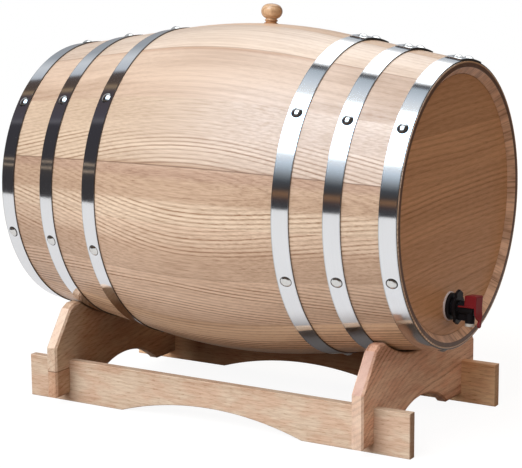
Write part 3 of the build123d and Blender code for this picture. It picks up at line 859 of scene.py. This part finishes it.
def painted_shade_on(hoop, place):
    """1 where shade is painted on a hoop, and 0 where it is not."""
    low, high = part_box(hoop)
    radius = (high.x - low.x) / 2
    half = (high.y - low.y) / 2
    across, along, up = from_cask(place)
    along = along - ((low.y + high.y) / 2 - CASK_Y)
    turn = across.math("ARCTAN2", up)
    nearest = None
    for spot in heads_on(hoop):
        away = (turn - spot).math("WRAP", math.pi, -math.pi) * radius
        away = away * away
        nearest = away if nearest is None else nearest.math("MINIMUM", away)
    away = (nearest + along * along).root()
    ring = 1.0 - away.fade(HEAD_R + 0.0004, HEAD_R + 0.0011)
    border = along.size().fade(half - 0.0013, half - 0.0004)
    cut_edge = facing_of(place)[1].size().fade(0.60, 0.85)
    edges = (cut_edge * 0.9 + border * 0.35).math("MINIMUM", 0.9)
    return edges.math("MAXIMUM", ring * 0.97)


def strip(hoop):
    """The rolled steel of one hoop."""
    material, shader, place = blank("steel_" + hoop)
    shader.inputs["Metallic"].default_value = 1.0
    rolled = place.noise((9.0, 1400.0, 9.0), 3.0, 2.0)
    cloud = place.noise((14.0, 14.0, 14.0), 2.0, 6.0)
    # painted shade: cut edges, borders of the strip and rings round the heads
    painted_shade = painted_shade_on(hoop, place)
    skin = rolled * 0.6 + cloud * 0.4
    skin = skin.mix(toned(STRIP_STEEL, 1.04), toned(STRIP_STEEL, 0.90))
    rough = STRIP_ROUGH + (rolled - 0.5) * 0.06 + (cloud - 0.5) * 0.04
    relief = rolled * LINES + cloud * WAVES
    connect(painted_shade.mix(skin, PAINTED_SHADE), shader, "Base Color")
    connect(rough + painted_shade * 0.25, shader, "Roughness")
    connect(bumped(relief, SKIN_DEPTH), shader, "Normal")
    return material


for name in sorted(name for name in nodes if name.endswith("_hoop")):
    cover([name], strip(name))
    print(name, "is held by", len(heads_on(name)), "heads")

# %% [markdown]
# ## Nails and rivets
# A nail head is a small bright dome. Round its foot, where it meets the strip,
# a thin dark line of shade is painted, and without it the dome would melt into
# the strip it shines like. The foot is found as height above the staves. The
# crown is polished flatter than the solid: a bump that falls as the dome rises
# turns its sides a little outwards, so that they mirror more of the room and
# less of the strip.

# %% Domed heads
NAIL_STEEL = (0.82, 0.81, 0.78)
# painted shade round the foot of every head
FOOT_PAINTED_SHADE = (0.035, 0.030, 0.028)
FOOT_TOP = 0.0024            # how far up the strip and the foot reach
FLATTER = 0.24               # how much of the dome's slope is polished away


def dome_steel(name):
    """Bright steel for domed heads, with painted shade round their feet."""
    material, shader, place = blank(name)
    shader.inputs["Metallic"].default_value = 1.0
    height = over_staves(place)
    foot = 1.0 - height.fade(FOOT_TOP - 0.0006, FOOT_TOP)
    cloud = place.noise((240.0, 240.0, 240.0), 2.0, 6.0)
    skin = cloud.mix(NAIL_STEEL, toned(NAIL_STEEL, 0.82))
    connect(foot.mix(skin, FOOT_PAINTED_SHADE), shader, "Base Color")
    connect(0.08 + cloud * 0.04 + foot * 0.30, shader, "Roughness")
    crown = cloud * 0.00002 - height * FLATTER
    connect(bumped(crown, 1.0), shader, "Normal")
    return material


cover(["hoop_nails", "hoop_rivets"], dome_steel("nail_steel"))
print("nails and rivets: grime up to", FOOT_TOP)


# %% [markdown]
# ## Moulded parts
# Moulded plastic is one even colour. What tells it from paint is its skin: a
# gloss that varies a little, and a faint orange-peel.

# %% Plastics and rubber
PEEL = 0.00002               # the depth of the orange-peel


def moulded(name, colour, rough, shine=0.5):
    """Plastic or rubber of one colour, with a moulded skin."""
    material, shader, place = blank(name)
    shader.inputs["Specular IOR Level"].default_value = shine
    skin = place.noise((420.0, 420.0, 420.0), 2.0, 1.0)
    cloud = place.noise((90.0, 90.0, 90.0), 2.0, 8.0)
    connect(cloud.mix(colour, toned(colour, 0.86)), shader, "Base Color")
    connect(rough + (cloud - 0.5) * 0.10, shader, "Roughness")
    connect(bumped(skin, PEEL), shader, "Normal")
    return material


black = moulded("black_moulding", (0.016, 0.016, 0.020), 0.34, 0.10)
red = moulded("red_moulding", (0.270, 0.024, 0.032), 0.40, 0.12)
natural = moulded("natural_moulding", (0.820, 0.800, 0.880), 0.40)
milky = moulded("natural_spout", (0.780, 0.840, 0.840), 0.36)
rubber = moulded("black_rubber", (0.030, 0.030, 0.030), 0.60)

cover(["tap_body"], black)
cover(["tap_lever"], red)
cover(["tap_gland", "valve_stem"], natural)
cover(["tap_spout"], milky)
cover(["tap_diaphragm", "valve_seal"], rubber)
print("tap in", black.name, "and", red.name)

# %% [markdown]
# ## Floor
# A pale studio table. It ends behind the cask, and past its edge the bright
# steel reflects the dark room: that draws the dark band along the middle of
# every hoop. To the camera the table is white, and it still darkens a little
# where the cask shades it. The steel sees it pale, with a shadow painted grey
# under the cask and the table painted dark ahead of the tap, and the light it
# throws back on the wood is brown and dim.

# %% The table
TABLE_LOW = (-6.0, -4.0)
TABLE_HIGH = (12.0, 1.5)

mesh = bpy.data.meshes.new("table")
sheet = bmesh.new()
bmesh.ops.create_grid(sheet, x_segments=1, y_segments=1, size=0.5)
middle = [(low + high) / 2 for low, high in zip(TABLE_LOW, TABLE_HIGH)]
wide = [high - low for low, high in zip(TABLE_LOW, TABLE_HIGH)]
bmesh.ops.scale(sheet, verts=sheet.verts, vec=(*wide, 1.0))
bmesh.ops.translate(sheet, verts=sheet.verts, vec=(*middle, 0.0))
sheet.to_mesh(mesh)
sheet.free()
table = bpy.data.objects.new("table", mesh)
scene.collection.objects.link(table)
print("table", wide[0], "by", wide[1])

# %% Its top, which each kind of ray sees in its own way
TOP_WHITE = 0.92             # how bright it is to the camera before any light
TOP_GREY = (0.13, 0.13, 0.13)

material = bpy.data.materials.new("table_top")
tree = empty_tree(material)
seen = source(tree, "LightPath", "Is Camera Ray")
mirrored = source(tree, "LightPath", "Is Glossy Ray")
across, along = source(tree, "TexCoord", "Object").xyz()[:2]
# a painted shadow: the steel sees the table grey under the cask
beside = across.size().fade(0.10, 0.20)
beyond_ends = along.size().fade(0.22, 0.36)
under = (1.0 - beside) * (1.0 - beyond_ends)
sheen = under.mix((0.80, 0.87, 0.95), (0.30, 0.31, 0.33))
# painted dark ahead of the tap, for the steel only
sheen = along.fade(-0.80, -0.36).mix((0.10, 0.085, 0.075), sheen)
paint = mirrored.mix((0.22, 0.145, 0.09), sheen)
paint = seen.mix(paint, TOP_GREY)
matt = seen.node("BsdfDiffuse", {}, {"Color": paint})
glow = {"Color": (1.0, 1.0, 1.0), "Strength": seen * TOP_WHITE}
glow = seen.node("Emission", {}, glow)
finish_with("Material", seen.node("AddShader", {}, {0: matt, 1: glow}))
mesh.materials.append(material)

# %% [markdown]
# ## Light
# One broad lamp stands on the -X side, half-way up, so that the flank of the
# cask is lit and its head is in shade. The room itself gives the rest.

# %% The key lamp
KEY_FROM = Vector((-0.76, 0.31, 0.58))

lamp = bpy.data.lights.new("key", "SUN")
lamp.energy = 2.9
lamp.angle = math.radians(55.0)
key = bpy.data.objects.new("key", lamp)
key.rotation_mode = "QUATERNION"
key.rotation_quaternion = KEY_FROM.to_track_quat("Z", "Y")
key.visible_glossy = False
scene.collection.objects.link(key)
print("key lamp", lamp.energy)

# %% [markdown]
# ## What the steel sees
# What steel sees in the room is drawn separately, as two ramps that run from
# the horizon on the -X side over the top to the horizon on the other: one for
# the front of the room, with its two softboxes, and one for the dark back.
# Straight ahead of the tap there is only a dark wall.

# %% The front and the back of the room
world = bpy.data.worlds.new("studio")
scene.world = world
tree = empty_tree(world)
seen = source(tree, "LightPath", "Is Camera Ray")
mirrored = source(tree, "LightPath", "Is Glossy Ray")
x, y, z = source(tree, "TexCoord", "Generated").xyz()
over = z.math("MAXIMUM", 0.0).math("ARCTAN2", x * -1.0) / math.pi


def arc(stops):
    """A ramp whose stops are angles over the cask, 0 to 180 degrees."""
    return over.ramp([(angle / 180.0, colour) for angle, colour in stops])


SOFTBOX = (1.0, 1.0, 1.0)
WALL = (0.060, 0.052, 0.050)

front_room = arc([
    (0.0, (0.045, 0.045, 0.050)), (4.0, (0.060, 0.045, 0.045)),
    (8.0, (0.230, 0.125, 0.070)), (11.0, (0.050, 0.045, 0.045)),
    (16.0, (0.060, 0.065, 0.075)), (20.0, (0.200, 0.220, 0.240)),
    (29.0, (0.600, 0.690, 0.790)), (37.0, SOFTBOX),
    (78.0, SOFTBOX), (83.0, (0.860, 0.890, 0.920)),
    (92.0, (0.640, 0.700, 0.770)), (103.0, (0.430, 0.490, 0.550)),
    (105.0, (0.100, 0.100, 0.110)), (108.0, (0.080, 0.080, 0.085)),
    (110.0, SOFTBOX), (148.0, SOFTBOX),
    (154.0, (0.560, 0.590, 0.630)), (180.0, (0.480, 0.500, 0.530)),
])
back_room = arc([
    (0.0, (0.045, 0.042, 0.045)), (10.0, (0.050, 0.045, 0.045)),
    (11.3, (0.520, 0.400, 0.300)), (12.6, (0.055, 0.050, 0.050)),
    (16.2, (0.055, 0.050, 0.050)), (17.4, (0.560, 0.430, 0.320)),
    (18.6, (0.045, 0.042, 0.048)), (54.0, (0.045, 0.042, 0.050)),
    (57.5, (0.130, 0.125, 0.140)), (61.0, (0.075, 0.068, 0.085)),
    (87.0, (0.075, 0.060, 0.065)), (91.0, (0.330, 0.235, 0.150)),
    (94.0, (0.090, 0.065, 0.055)), (106.0, (0.090, 0.070, 0.065)),
    (109.0, (0.520, 0.560, 0.620)), (124.0, (0.660, 0.690, 0.730)),
    (140.0, (0.360, 0.390, 0.430)), (180.0, (0.300, 0.310, 0.330)),
])
behind = y.fade(0.38, 0.52)
off_wall = y.fade(-0.30, 0.02)
room = behind.mix(front_room, back_room)
room = off_wall.mix(WALL, room)
print("room: a front with two softboxes, a dark back and a wall")

# %% [markdown]
# ## The light of the room
# For all that is not a mirror, the room is a soft glow: warm and dim nearly
# everywhere, a little brighter ahead of the tap, and pale on the open side
# towards -X. The softboxes are brighter than a colour can say, so where they
# stand the background's strength goes up. To the camera the room is white.

# %% The world's background
LAMP_BLUE = (0.62, 0.86, 1.10)
LAMP_STRENGTH = 6.4
FAR_LAMP = 0.25              # the far softbox, as a share of the near one

# The softboxes lie between these parts of the arc, where 1 is 180 degrees.
near_lamp = over.fade(0.195, 0.215) * (1.0 - over.fade(0.425, 0.445))
far_lamp = over.fade(0.612, 0.622) * (1.0 - over.fade(0.800, 0.825))
lamps = (near_lamp + far_lamp * FAR_LAMP) * (1.0 - behind) * off_wall
lamps = lamps * mirrored

far_dim = z.ramp([(0.0, (0.235, 0.140, 0.075)), (1.0, (0.54, 0.42, 0.32))])
near_dim = z.ramp([(0.0, (0.325, 0.210, 0.124)), (1.0, (0.745, 0.630, 0.530))])
dim = y.fade(-0.60, 0.05).mix(near_dim, far_dim)
open_side = z.ramp([(0.0, (0.50, 0.45, 0.42)), (1.0, (0.74, 0.74, 0.74))])
fill = (y * 0.55 - x * 0.85).fade(-0.1, 1.0).mix(dim, open_side)

light = mirrored.mix(fill, room)
light = seen.mix(light, (1.0, 1.0, 1.0))
light = lamps.mix(light, LAMP_BLUE)
ground = {"Color": light, "Strength": 1.0 + lamps * LAMP_STRENGTH}
finish_with("World", seen.node("Background", {}, ground))
print("world", world.name, "with", len(tree.nodes), "nodes")

# %% [markdown]
# ## Camera
# A long lens from the left of the tap end, a little above the cask. It leans a
# fraction of a degree, as a camera on a tripod does.

# %% The camera
LOOKING = Vector((0.842469, 0.504723, -0.188414))
LEAN = math.radians(-0.408)

camera_data = bpy.data.cameras.new("camera")
camera_data.lens = 119.8
camera_data.sensor_width = 36.0
camera_data.sensor_fit = "HORIZONTAL"
camera_data.clip_end = 50.0
camera = bpy.data.objects.new("camera", camera_data)
camera.location = (-1.87619, -1.10744, 0.63953)
camera.rotation_mode = "QUATERNION"
lean = Quaternion((0.0, 0.0, 1.0), LEAN)
camera.rotation_quaternion = LOOKING.to_track_quat("-Z", "Y") @ lean
scene.collection.objects.link(camera)
scene.camera = camera
scene.view_settings.view_transform = "Standard"
print("camera", camera_data.lens, "mm")
